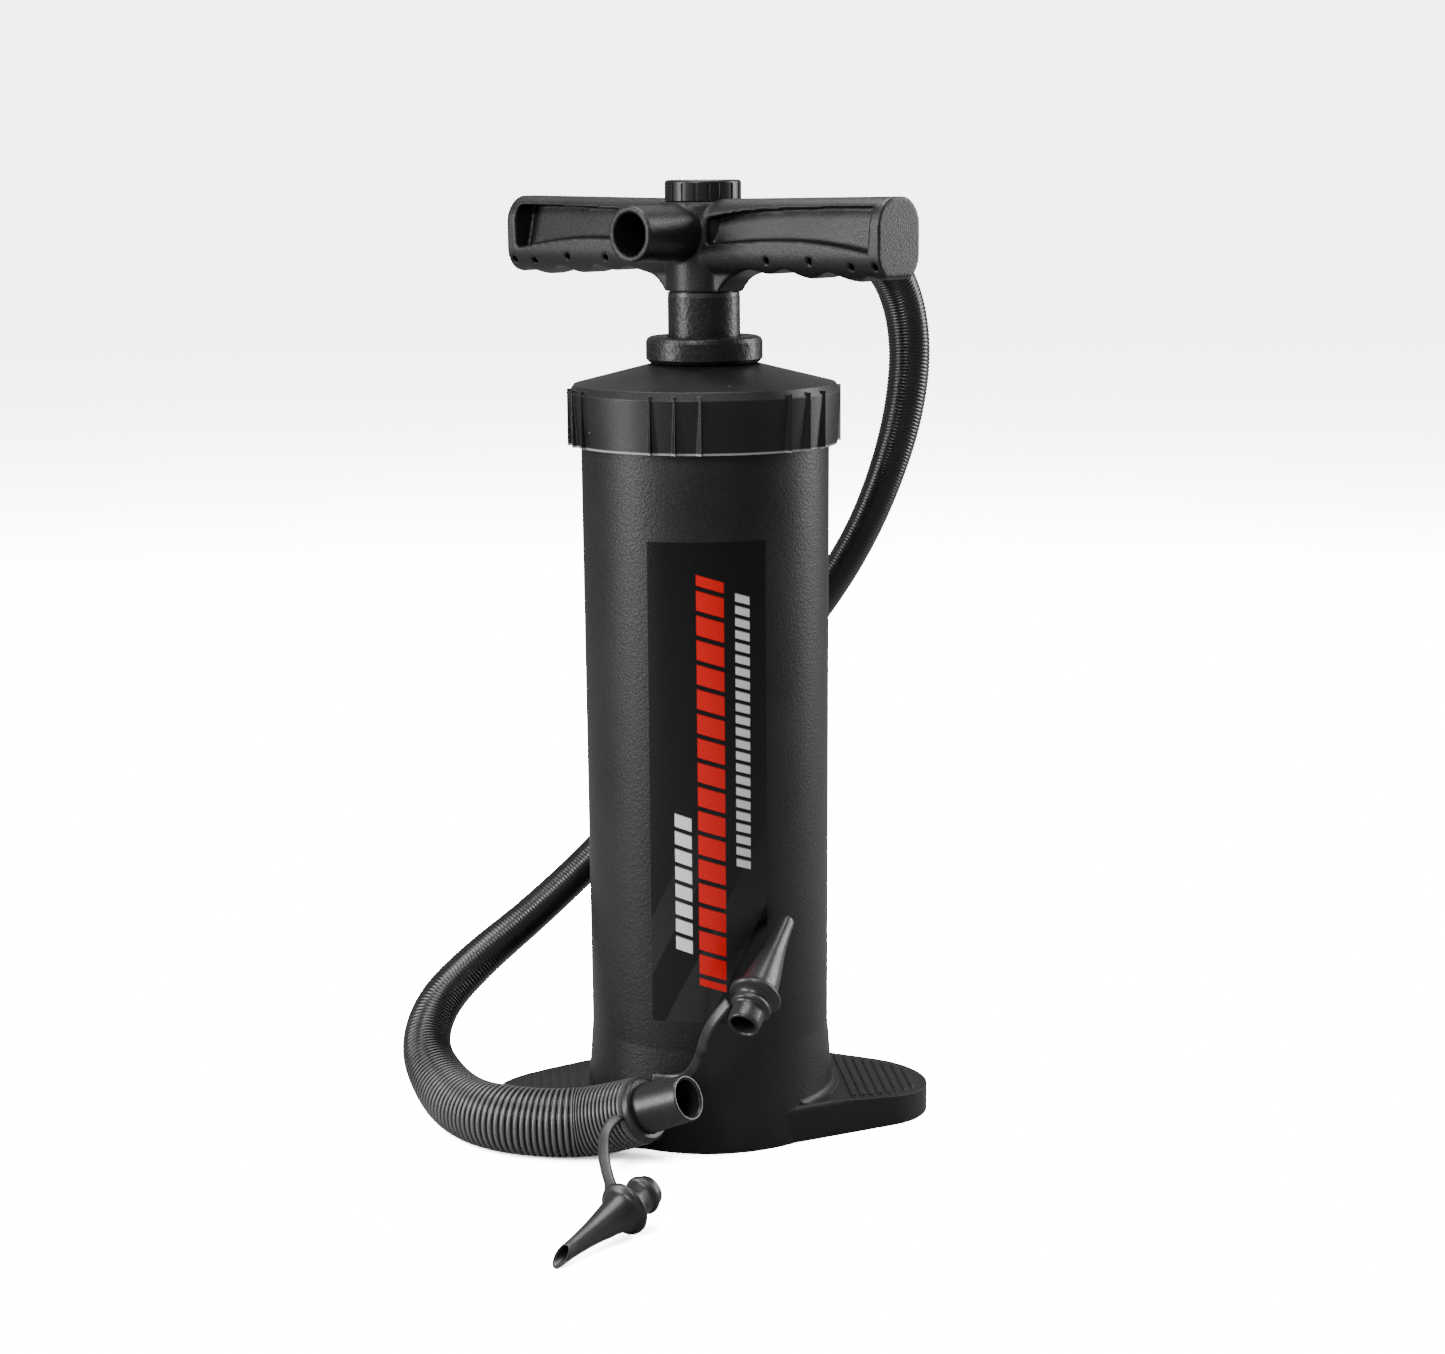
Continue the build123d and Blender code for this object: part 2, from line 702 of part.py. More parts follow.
def nozzle(place, oblique_tip):
    """A cone nozzle: plug end, round flange, then a cone to the tip."""
    flange_z = nozzle_flange_z
    outline = Polyline(
        (nozzle_bore_radius, 0, 0),
        (nozzle_plug_radius, 0, 0),
        (nozzle_plug_root_radius, 0, flange_z - 2.2),
        (nozzle_plug_root_radius + 1.0, 0, flange_z - 1.6),
        (nozzle_flange_radius, 0, flange_z - 0.8),
        (nozzle_flange_radius, 0, flange_z + 0.8),
        (nozzle_neck_radius + 0.8, 0, flange_z + 1.8),
        (nozzle_neck_radius, 0, flange_z + 5.0),
        (nozzle_tip_radius + 1.6, 0, nozzle_length - nozzle_cone_end),
        (nozzle_tip_radius, 0, nozzle_length - 7),
        (nozzle_tip_radius, 0, nozzle_length),
        (nozzle_tip_bore_radius, 0, nozzle_length),
        (nozzle_tip_bore_radius, 0, nozzle_length - nozzle_cone_end),
        (nozzle_bore_radius, 0, flange_z),
        close=True,
    )
    body = revolve(make_face(outline), Axis.Z)
    if oblique_tip:
        cut = Pos(0, 0, nozzle_length) * Rot(0, 45, 0) * Pos(0, 0, 5.4) * Box(20, 20, 10)
        body -= cut
    else:
        tip = Pos(0, 0, nozzle_length - 0.6) * Cylinder(nozzle_tip_radius, 1.2)
        body += tip
        body -= Pos(0, -nozzle_tip_radius, nozzle_length - 6) * Rot(90, 0, 0) * Cylinder(0.9, 4)
    return place * body


upper_nozzle_frame = along(upper_nozzle_mouth, upper_nozzle_tip)
lower_nozzle_frame = along(lower_nozzle_mouth, lower_nozzle_tip)

# ---------------------------------------------------------------- all nodes
nodes = {
    "barrel": make_barrel(),
    "label": make_label(),
    "screw_cap": make_screw_cap(),
    "guide_collar": make_guide_collar(),
    "guide_bush": make_guide_bush(),
    "rod_seal": make_rod_seal(),
    "cap_gasket": make_cap_gasket(),
    "piston_seal": make_piston_seal(),
    "piston_core": make_piston_core(),
    "piston_plate_upper": make_piston_plate(core_high_z + seat_gap),
    "piston_plate_lower": make_piston_plate(piston_low_z - seat_gap),
    "upper_inlet_flap": make_flap(core_high_z - flap_thickness, inlet_flap_radius),
    "upper_outlet_flap": make_flap(upper_seat_z + seat_gap, outlet_flap_radius),
    "lower_inlet_flap": make_flap(core_low_z, inlet_flap_radius),
    "lower_outlet_flap": make_flap(lower_seat_z - flap_thickness - seat_gap, outlet_flap_radius),
    "piston_screws": make_piston_screws(),
    "piston_rod": make_piston_rod(),
    "inner_air_tube": make_air_tube(),
    "rod_plug": make_rod_plug(),
    "handle": make_handle(),
    "handle_seal": make_handle_seal(),
    "knob_cap": make_knob_cap(),
    "hose_cuff": make_hose_cuff(),
    "hose_upper": swept("hose_upper", upper_hose_route, upper_hose_radius, upper_hose_radius - hose_wall),
    "hose_lower": swept("hose_lower", lower_hose_route, lower_hose_radius, lower_hose_radius - hose_wall),
    "hose_end_fitting": make_hose_end_fitting(),
    "tether_ring": make_tether_ring(),
    "tether_strap_upper": swept("tether_strap_upper", upper_strap_route, strap_radius),
    "tether_strap_lower": swept("tether_strap_lower", lower_strap_route, strap_radius),
    "nozzle_round": nozzle(upper_nozzle_frame, False),
    "nozzle_slant": nozzle(lower_nozzle_frame, True),
}

for name, solid in nodes.items():
    export_step(solid, f"parts/{name}.step")
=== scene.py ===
import math

import bmesh
import bpy
import numpy as np
from mathutils import Matrix, Vector


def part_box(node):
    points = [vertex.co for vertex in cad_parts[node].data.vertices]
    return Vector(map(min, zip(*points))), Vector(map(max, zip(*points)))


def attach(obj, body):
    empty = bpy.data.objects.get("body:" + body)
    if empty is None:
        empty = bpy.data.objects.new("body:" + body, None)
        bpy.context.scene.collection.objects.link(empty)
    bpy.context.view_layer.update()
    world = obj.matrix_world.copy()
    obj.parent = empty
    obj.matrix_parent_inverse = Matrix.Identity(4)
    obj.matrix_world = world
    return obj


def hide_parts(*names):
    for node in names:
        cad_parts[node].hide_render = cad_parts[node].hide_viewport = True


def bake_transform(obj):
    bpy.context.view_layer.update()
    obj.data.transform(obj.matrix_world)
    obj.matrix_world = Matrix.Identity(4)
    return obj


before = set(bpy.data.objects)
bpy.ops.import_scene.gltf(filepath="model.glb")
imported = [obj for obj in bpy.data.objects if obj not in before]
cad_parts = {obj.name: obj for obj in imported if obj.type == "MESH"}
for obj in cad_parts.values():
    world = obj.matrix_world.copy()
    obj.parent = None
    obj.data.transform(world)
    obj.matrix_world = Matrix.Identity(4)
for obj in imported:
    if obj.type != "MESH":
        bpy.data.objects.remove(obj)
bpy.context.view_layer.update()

# Looks of the double action hand pump. Metres, in the frame of the CAD model: +Z up,
# the pump's axis on Z, +X along the foot's wings, the handle fully down.

MM = 0.001

# ---------------------------------------------------------------- camera
CAMERA_DISTANCE = 1.10       # from the pump's axis, level
CAMERA_HEIGHT = 0.375
CAMERA_AZIMUTH = math.radians(-95.45)
CAMERA_PITCH = math.radians(10.2)
CAMERA_YAW = math.radians(0.31)
CAMERA_ROLL = math.radians(-0.45)
LENS_MM = 71.5
SENSOR_MM = 36.0
NEAREST_SEEN = 0.05
FARTHEST_SEEN = 20.0

# ---------------------------------------------------------------- stage
# The surround and the floor look white but light the pump less than they show, as where
# a studio's backdrop has lamps of its own.
SURROUND_SEEN = 5.2
SURROUND_LIGHT = 0.30
FLOOR_SEEN = 17.0
FLOOR_LIGHT = 0.25
FLOOR_HALF_SIZE = 6.0
LIGHT_TARGET = Vector((0, 0, 0.18))
# name, place, width, power, height
LIGHTS = (
    ("left_softbox", (-1.30, -0.30, 0.55), 0.45, 26, 1.2),
    ("right_softbox", (1.30, 0.35, 0.65), 0.35, 20, 1.2),
    ("top_softbox", (0.0, 0.25, 1.6), 1.0, 34, 1.0),
    ("front_fill", (-0.75, -1.30, 1.25), 0.4, 20, 0.6),
)

# ---------------------------------------------------------------- hose and straps
# Corner points of the hose, from the handle's rear port to the free end, in two pieces
# that meet behind the barrel.
HOSE_UPPER_ROUTE = [
    (0.0413, 0.0378, 0.3485),
    (0.0578, 0.0529, 0.3485),
    (0.0740, 0.0675, 0.3410),
    (0.0880, 0.0790, 0.3250),
    (0.0940, 0.0840, 0.3010),
    (0.0915, 0.0820, 0.2750),
    (0.0840, 0.0790, 0.2490),
    (0.0725, 0.0750, 0.2230),
    (0.0560, 0.0700, 0.1980),
    (0.0350, 0.0665, 0.1730),
    (0.0100, 0.0655, 0.1470),
]
HOSE_LOWER_ROUTE = [
    (0.0100, 0.0655, 0.1470),
    (-0.0150, 0.0645, 0.1210),
    (-0.0400, 0.0580, 0.0945),
    (-0.0675, 0.0500, 0.0715),
    (-0.0910, 0.0435, 0.0545),
    (-0.1085, 0.0340, 0.0395),
    (-0.1140, 0.0170, 0.0260),
    (-0.1070, -0.0030, 0.0165),
    (-0.0975, -0.0205, 0.0125),
    (-0.0835, -0.0360, 0.0130),
    (-0.0655, -0.0435, 0.0130),
    (-0.0470, -0.0460, 0.0140),
    (-0.0325, -0.0575, 0.0215),
]
STRAP_UPPER_ROUTE = [
    (-0.0270, -0.0485, 0.0308),
    (-0.0215, -0.0505, 0.0305),
    (-0.0145, -0.0560, 0.0330),
    (-0.0110, -0.0645, 0.0420),
    (-0.0095, -0.0715, 0.0530),
    (-0.0060, -0.0765, 0.0625),
    (-0.0006, -0.0779, 0.0688),
]
STRAP_LOWER_ROUTE = [
    (-0.0410, -0.0660, 0.0225),
    (-0.0465, -0.0705, 0.0205),
    (-0.0480, -0.0790, 0.0135),
    (-0.0470, -0.0890, 0.0075),
    (-0.0450, -0.0990, 0.0045),
    (-0.0435, -0.1085, 0.0070),
    (-0.0420, -0.1160, 0.0120),
]
# the hose's mean radius by the distance from the handle's port, both in millimetres:
# thinnest behind the barrel and thickest at the free end
HOSE_RADII = [
    (0, 8.5), (97, 8.4), (118, 8.2), (148, 7.5), (170, 7.1), (290, 7.0), (357, 7.1),
    (388, 7.4), (411, 8.1), (427, 8.5), (448, 9.0), (460, 9.4), (490, 11.4), (504, 11.9),
    (519, 12.3), (545, 12.6), (565, 12.8), (574, 12.5), (582, 12.2),
]
HOSE_RADIUS_BLEND = 9 * MM          # half the length over which the radii are evened out
HOSE_SEGMENTS = 44
RIB_PITCH = (1.3 * MM, 2.15 * MM)   # behind the barrel and at the free end
RIB_DEPTH = (0.09 * MM, 1.15 * MM)
RIB_GROWTH = (7.4 * MM, 11.6 * MM)  # the radii between which the ribs grow
# one rib, from groove to groove: share of the pitch, share of the depth
RIB_ROWS = ((0.0, 0.0), (0.12, 0.45), (0.27, 0.90), (0.50, 1.0), (0.73, 0.90), (0.88, 0.45))
RIB_CREST = "rib_crest"             # the attribute that says how high on a rib a point is

STRAP_WIDTH = 4.4 * MM
STRAP_THICKNESS = 1.4 * MM
STRAP_ROWS = 60
STRAP_SEGMENTS = 24
NUB_HEIGHT = 0.9 * MM
NUB_PLACE = 0.62                    # this and the next as shares of the strap's length
NUB_HALF_LENGTH = 0.035

# ---------------------------------------------------------------- nozzles
NOZZLE_ROUND_MOUTH = Vector((0.0035, -0.0880, 0.0625))
NOZZLE_ROUND_TIP = Vector((0.0255, -0.0465, 0.0915))
NOZZLE_SLANT_MOUTH = Vector((-0.0335, -0.1185, 0.0126))
NOZZLE_SLANT_TIP = Vector((-0.0700, -0.1585, 0.0029))
NOZZLE_SEGMENTS = 56
# Outlines of the nozzles, as distance from the mouth and radius, in millimetres: the
# outside from mouth to tip, the slanted nozzle's slender tip, and the bores, which run
# back to the mouth.
NOZZLE_OUTSIDE = [
    (0.0, 5.5), (0.5, 6.0), (1.6, 6.15), (6.0, 6.2), (11.2, 6.2), (12.4, 6.5), (13.2, 7.6),
    (13.7, 9.2), (14.3, 9.85), (15.0, 10.0), (15.8, 9.85), (16.3, 9.1), (16.8, 7.9), (17.8, 7.3),
    (20.0, 7.1), (24.0, 6.7), (30.0, 5.7), (36.0, 4.55), (42.0, 3.75), (47.0, 3.3), (51.0, 3.15),
    (53.6, 3.05), (54.6, 2.7), (55.0, 2.0),
]
NOZZLE_SLENDER_TIP = [
    (20.0, 6.6), (24.0, 5.9), (30.0, 4.8), (36.0, 3.95), (42.0, 3.4), (47.0, 3.1), (51.0, 3.0),
    (54.6, 3.0), (55.0, 2.7),
]
NOZZLE_THROUGH_BORE = [
    (54.9, 2.2), (50.0, 1.6), (40.0, 2.2), (28.0, 3.2), (16.0, 4.4), (2.0, 4.5), (0.4, 4.7),
]
NOZZLE_BLIND_BORE = [(12.0, 4.4), (2.0, 4.5), (0.4, 4.7)]
NOZZLE_END = 55.0
DOME_RADIUS = 2.0
DOME_HEIGHT = 1.1
DOME_SHARES = (0.75, 0.45, 0.12)
SLANT_START = 42.0
SLANT_DEPTH = 7.5
# the strap's loop round each plug: distance from the mouth and radius, in millimetres
LOOPS = {"nozzle_round": (9.3, 7.8), "nozzle_slant": (4.4, 7.3)}
LOOP_HALF_WIDTH = 1.2
LOOP_ROUNDING = 0.4
LOOP_FOOT = 0.3
PLUG_RADII = (6.2, 6.25)            # before and behind the loop

# ---------------------------------------------------------------- handle
HANDLE_VOXEL = 0.6 * MM
HANDLE_SMOOTHING = 7


# ================================================================ camera, floor and light
def make_camera():
    """The camera, on the side of the printed panel and a little above the handle."""
    level_out = Vector((math.cos(CAMERA_AZIMUTH), math.sin(CAMERA_AZIMUTH), 0))
    place = CAMERA_DISTANCE * level_out + Vector((0, 0, CAMERA_HEIGHT))
    across = Vector((-level_out.y, level_out.x, 0))
    ahead = math.cos(CAMERA_YAW) * -level_out + math.sin(CAMERA_YAW) * across
    right = Vector((ahead.y, -ahead.x, 0))
    forward = math.cos(CAMERA_PITCH) * ahead - math.sin(CAMERA_PITCH) * Vector((0, 0, 1))
    upward = right.cross(forward)
    rolled_right = math.cos(CAMERA_ROLL) * right + math.sin(CAMERA_ROLL) * upward
    rolled_up = rolled_right.cross(forward)
    turn = Matrix((rolled_right, rolled_up, -forward)).transposed().to_4x4()
    data = bpy.data.cameras.new("camera")
    data.lens = LENS_MM
    data.sensor_width = SENSOR_MM
    data.sensor_fit = "HORIZONTAL"
    data.clip_start = NEAREST_SEEN
    data.clip_end = FARTHEST_SEEN
    camera = bpy.data.objects.new("camera", data)
    camera.matrix_world = Matrix.Translation(place) @ turn
    bpy.context.collection.objects.link(camera)
    bpy.context.scene.camera = camera


def make_area_light(name, place, width, power, height):
    """A soft light that faces the middle of the pump."""
    data = bpy.data.lights.new(name, "AREA")
    data.shape = "RECTANGLE"
    data.size = width
    data.size_y = height
    data.energy = power
    light = bpy.data.objects.new(name, data)
    aim = LIGHT_TARGET - Vector(place)
    turn = aim.to_track_quat("-Z", "Y").to_matrix().to_4x4()
    light.matrix_world = Matrix.Translation(place) @ turn
    bpy.context.collection.objects.link(light)


def make_studio():
    """A pale floor, a white surround and soft lights from both sides and above."""
    world = bpy.data.worlds.new("studio")
    world.use_nodes = True
    tree = world.node_tree
    background = tree.nodes["Background"]
    background.inputs["Color"].default_value = (1.0, 1.0, 1.0, 1.0)
    strength = seen_or_lighting(tree, SURROUND_SEEN, SURROUND_LIGHT)
    tree.links.new(strength, background.inputs["Strength"])
    bpy.context.scene.world = world
    for facts in LIGHTS:
        make_area_light(*facts)
    mesh = bpy.data.meshes.new("floor")
    half = FLOOR_HALF_SIZE
    corners = [(-half, -half, 0), (half, -half, 0), (half, half, 0), (-half, half, 0)]
    mesh.from_pydata(corners, [], [(0, 1, 2, 3)])
    floor = new_object("floor", mesh)
    paint = bpy.data.materials.new("floor_white")
    paint.use_nodes = True
    tree = paint.node_tree
    tree.nodes.clear()
    diffuse = tree.nodes.new("ShaderNodeBsdfDiffuse")
    output = tree.nodes.new("ShaderNodeOutputMaterial")
    tree.links.new(seen_or_lighting(tree, FLOOR_SEEN, FLOOR_LIGHT), diffuse.inputs["Color"])
    tree.links.new(diffuse.outputs[0], output.inputs["Surface"])
    mesh.materials.append(paint)


def seen_or_lighting(tree, seen, lighting):
    """One value where the stage itself is seen, and a lower one for the light that it gives."""
    path = tree.nodes.new("ShaderNodeLightPath")
    scale = tree.nodes.new("ShaderNodeMapRange")
    scale.inputs["To Min"].default_value = lighting
    scale.inputs["To Max"].default_value = seen
    tree.links.new(path.outputs["Is Camera Ray"], scale.inputs["Value"])
    return scale.outputs["Result"]


# ================================================================ mesh helpers
def new_object(name, mesh):
    piece = bpy.data.objects.new(name, mesh)
    bpy.context.collection.objects.link(piece)
    return piece


def smooth_line(name, route, steps):
    """The points of the NURBS spline whose control points are the route's."""
    data = bpy.data.curves.new(name, "CURVE")
    data.dimensions = "3D"
    spline = data.splines.new("NURBS")
    spline.points.add(len(route) - 1)
    for point, place in zip(spline.points, route):
        point.co = (*place, 1.0)
    spline.order_u = 3
    spline.use_endpoint_u = True
    spline.resolution_u = steps
    carrier = new_object(name, data)
    mesh = bpy.data.meshes.new_from_object(carrier)
    points = [v.co.copy() for v in mesh.vertices]
    bpy.data.objects.remove(carrier)
    bpy.data.curves.remove(data)
    bpy.data.meshes.remove(mesh)
    return points


class Line:
    """A smooth line with a frame that doesn't twist, read by the distance along it."""

    def __init__(self, points, first_side=Vector((0, 0, 1))):
        self.points = points
        runs = [(b - a).length for a, b in zip(points, points[1:])]
        self.reach = np.concatenate([[0.0], np.cumsum(runs)])
        self.length = float(self.reach[-1])
        self.aims = []
        for index in range(len(points)):
            before = points[max(index - 1, 0)]
            after = points[min(index + 1, len(points) - 1)]
            self.aims.append((after - before).normalized())
        side = first_side - first_side.dot(self.aims[0]) * self.aims[0]
        self.sides = [side.normalized()]
        for before, after in zip(self.aims, self.aims[1:]):
            turned = before.rotation_difference(after) @ self.sides[-1]
            turned = turned - turned.dot(after) * after
            self.sides.append(turned.normalized())

    def at(self, distance):
        """The point, aim and side at a distance from the start."""
        distance = min(max(distance, 0.0), self.length)
        index = int(np.searchsorted(self.reach, distance, side="right")) - 1
        index = min(index, len(self.points) - 2)
        span = self.reach[index + 1] - self.reach[index]
        share = (distance - self.reach[index]) / span if span else 0.0
        point = self.points[index].lerp(self.points[index + 1], share)
        aim = self.aims[index].lerp(self.aims[index + 1], share).normalized()
        side = self.sides[index].lerp(self.sides[index + 1], share)
        side = (side - side.dot(aim) * aim).normalized()
        return point, aim, side


def circle(centre, aim, side, radius, segments):
    """Points round a centre, square to aim and starting at side."""
    other = aim.cross(side)
    angles = [2 * math.pi * k / segments for k in range(segments)]
    return [centre + radius * (math.cos(a) * side + math.sin(a) * other) for a in angles]


def skin(name, rings, close_ends=True):
    """A closed mesh over rings of points, all with the same count."""
    count = len(rings[0])
    vertices = [tuple(p) for ring in rings for p in ring]
    faces = []
    for row in range(len(rings) - 1):
        for k in range(count):
            after = (k + 1) % count
            low = row * count
            high = low + count
            faces.append((low + k, low + after, high + after, high + k))
    if close_ends:
        faces.append(tuple(range(count))[::-1])
        last = (len(rings) - 1) * count
        faces.append(tuple(last + k for k in range(count)))
    mesh = bpy.data.meshes.new(name)
    mesh.from_pydata(vertices, [], faces)
    bm = bmesh.new()
    bm.from_mesh(mesh)
    bmesh.ops.recalc_face_normals(bm, faces=bm.faces)
    bm.to_mesh(mesh)
    bm.free()
    mesh.polygons.foreach_set("use_smooth", [True] * len(mesh.polygons))
    return new_object(name, mesh)


# ================================================================ hose
def hose_radius(distance):
    """The hose's mean radius, read smoothly from HOSE_RADII."""
    places = [place * MM for place, _ in HOSE_RADII]
    radii = [radius * MM for _, radius in HOSE_RADII]
    near = [distance + HOSE_RADIUS_BLEND * k / 4 for k in range(-4, 5)]
    return float(np.mean(np.interp(near, places, radii)))


def ribbed_tube(name, line, start):
    """A corrugated tube along a line. Its ribs are finer where the hose is thinner."""
    rings = []
    crests = []
    along = 0.0
    while along < line.length:
        radius = hose_radius(start + along)
        growth = (radius - RIB_GROWTH[0]) / (RIB_GROWTH[1] - RIB_GROWTH[0])
        growth = min(max(growth, 0.0), 1.0)
        pitch = RIB_PITCH[0] + (RIB_PITCH[1] - RIB_PITCH[0]) * growth
        depth = RIB_DEPTH[0] + (RIB_DEPTH[1] - RIB_DEPTH[0]) * growth
        for share, height in RIB_ROWS:
            reach = along + share * pitch
            if reach > line.length:
                break
            point, aim, side = line.at(reach)
            local = radius - depth / 2 + depth * height
            rings.append(circle(point, aim, side, local, HOSE_SEGMENTS))
            crests.append(height * growth)
        along += pitch
    piece = skin(name, rings)
    crest = piece.data.attributes.new(RIB_CREST, "FLOAT", "POINT")
    crest.data.foreach_set("value", np.repeat(crests, HOSE_SEGMENTS).astype(np.float32))
    return piece


def make_hose():
    """The corrugated hose as two pieces that meet behind the barrel: the upper one follows
    the handle and the lower one lies with the barrel."""
    upper_points = smooth_line("hose_upper_line", HOSE_UPPER_ROUTE, 24)
    lower_points = smooth_line("hose_lower_line", HOSE_LOWER_ROUTE, 24)
    upper_line = Line(upper_points)
    lower_line = Line(lower_points, upper_line.sides[-1])
    upper = ribbed_tube("corrugated_hose_upper", upper_line, 0.0)
    lower = ribbed_tube("corrugated_hose_lower", lower_line, upper_line.length)
    for piece, node in ((upper, "hose_upper"), (lower, "hose_lower")):
        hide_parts(node)
        piece.data.materials.append(MATERIALS["hose"])
    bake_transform(upper)
    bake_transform(lower)


# ================================================================ straps
def flat_strap(name, points, facing):
    """A flat moulded strip along a line, with one small nub on an edge."""
    line = Line(points, facing)
    half_width = STRAP_WIDTH / 2
    half_thick = STRAP_THICKNESS / 2
    rings = []
    for row in range(STRAP_ROWS + 1):
        share = row / STRAP_ROWS
        point, aim, side = line.at(share * line.length)
        wide = aim.cross(side)
        nub = NUB_HEIGHT * math.exp(-((share - NUB_PLACE) / NUB_HALF_LENGTH) ** 2)
        ring = []
        for k in range(STRAP_SEGMENTS):
            angle = 2 * math.pi * k / STRAP_SEGMENTS
            c, s = math.cos(angle), math.sin(angle)
            # a rounded rectangle: a superellipse of the fourth power
            size = (c**4 + s**4) ** -0.25
            across = half_width * c * size + (nub if c > 0.5 else 0.0)
            ring.append(point + across * wide + half_thick * s * size * side)
        rings.append(ring)
    return skin(name, rings)


def make_straps(nozzles):
    """The two rubber straps that tie the nozzles to the ring on the hose's end."""
    strap_facts = (
        ("tether_strap_upper", STRAP_UPPER_ROUTE, Vector((-0.1, -1.0, 0.2)), nozzles[0]),
        ("tether_strap_lower", STRAP_LOWER_ROUTE, Vector((-0.3, -0.5, 0.9)), nozzles[1]),
    )
    for node, route, facing, nozzle in strap_facts:
        points = smooth_line(node + "_line", route, 16)
        strap = flat_strap("rubber_" + node, points, facing)
        strap.data.materials.append(MATERIALS["rubber"])
        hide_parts(node)
        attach(strap, "barrel")
        Line(points).length


# ================================================================ nozzles
def with_loop(profile, middle, radius):
    """The profile with the strap's loop round the plug, at a distance from the mouth."""
    low = middle - LOOP_HALF_WIDTH
    high = middle + LOOP_HALF_WIDTH
    loop = [
        (low - LOOP_FOOT, PLUG_RADII[0]), (low, radius - LOOP_ROUNDING),
        (low + LOOP_ROUNDING, radius), (high - LOOP_ROUNDING, radius),
        (high, radius - LOOP_ROUNDING), (high + LOOP_FOOT, PLUG_RADII[1]),
    ]
    before = [place for place in profile if place[0] < loop[0][0]]
    after = [place for place in profile if place[0] > loop[-1][0]]
    return before + loop + after


def nozzle_rings(mouth, tip, profile, cut_depth):
    """The rings of a nozzle's profile. Where the tip is cut at a slant, its upper side is
    pulled back, the more the nearer the end."""
    aim = (tip - mouth).normalized()
    side = Vector((0, 0, 1)) - aim.z * aim
    side.normalize()
    rings = []
    for distance, radius in profile:
        pull = cut_depth * max(distance - SLANT_START, 0.0) / (NOZZLE_END - SLANT_START)
        ring = circle(mouth + MM * distance * aim, aim, side, MM * radius, NOZZLE_SEGMENTS)
        for k in range(NOZZLE_SEGMENTS):
            upper = 0.5 + 0.5 * math.cos(2 * math.pi * k / NOZZLE_SEGMENTS)
            ring[k] = ring[k] - MM * pull * upper * aim
        rings.append(ring)
    return rings


def make_nozzle(name, node, mouth, tip, slanted):
    """A moulded cone nozzle with a plug end, the strap's loop and a round flange. One has an
    open tip cut at a slant, and the other has a closed round tip and a blind bore."""
    if slanted:
        tip_start = NOZZLE_SLENDER_TIP[0][0]
        outside = [place for place in NOZZLE_OUTSIDE if place[0] < tip_start]
        outside = with_loop(outside + NOZZLE_SLENDER_TIP, *LOOPS[node])
        rings = nozzle_rings(mouth, tip, outside + NOZZLE_THROUGH_BORE, SLANT_DEPTH)
        piece = skin(name, rings + rings[:1], close_ends=False)
        merge_close(piece)
    else:
        outside = with_loop(NOZZLE_OUTSIDE, *LOOPS[node])
        dome = [
            (NOZZLE_END + DOME_HEIGHT * (1 - share * share) ** 0.5, DOME_RADIUS * share)
            for share in DOME_SHARES
        ]
        piece = skin(name, nozzle_rings(mouth, tip, NOZZLE_BLIND_BORE + outside + dome, 0.0))
    subdivide(piece)
    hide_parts(node)
    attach(piece, "barrel")
    return piece


def merge_close(piece):
    """Joins the first and last rings of a closed profile."""
    bm = bmesh.new()
    bm.from_mesh(piece.data)
    bmesh.ops.remove_doubles(bm, verts=bm.verts, dist=1e-6)
    bmesh.ops.recalc_face_normals(bm, faces=bm.faces)
    bm.to_mesh(piece.data)
    bm.free()


def apply_modifiers(piece):
    """Replaces the piece's mesh by the one its modifiers give."""
    seen = piece.evaluated_get(bpy.context.evaluated_depsgraph_get())
    mesh = bpy.data.meshes.new_from_object(seen)
    piece.modifiers.clear()
    old = piece.data
    piece.data = mesh
    if old.users == 0:
        bpy.data.meshes.remove(old)
    mesh.polygons.foreach_set("use_smooth", [True] * len(mesh.polygons))


def subdivide(piece):
    modifier = piece.modifiers.new("subdivide", "SUBSURF")
    modifier.levels = 1
    modifier.render_levels = 1
    bpy.context.view_layer.update()
    apply_modifiers(piece)


# ================================================================ moulded handle
def moulded_copy(name, node, voxel, rounds):
    """A copy of a CAD node with its edges rounded as a moulding's are."""
    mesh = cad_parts[node].data.copy()
    mesh.name = name
    mesh.materials.clear()
    piece = new_object(name, mesh)
    modifier = piece.modifiers.new("remesh", "REMESH")
    modifier.mode = "VOXEL"
    modifier.voxel_size = voxel
    smooth = piece.modifiers.new("smooth", "SMOOTH")
    smooth.factor = 0.5
    smooth.iterations = rounds
    bpy.context.view_layer.update()
    apply_modifiers(piece)
    return piece


def make_handle():
    """The handle with the soft edges of a moulding, in place of the CAD's."""
    handle = moulded_copy("moulded_handle", "handle", HANDLE_VOXEL, HANDLE_SMOOTHING)
    handle.data.materials.append(MATERIALS["handle"])
    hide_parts("handle")
    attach(handle, "plunger")


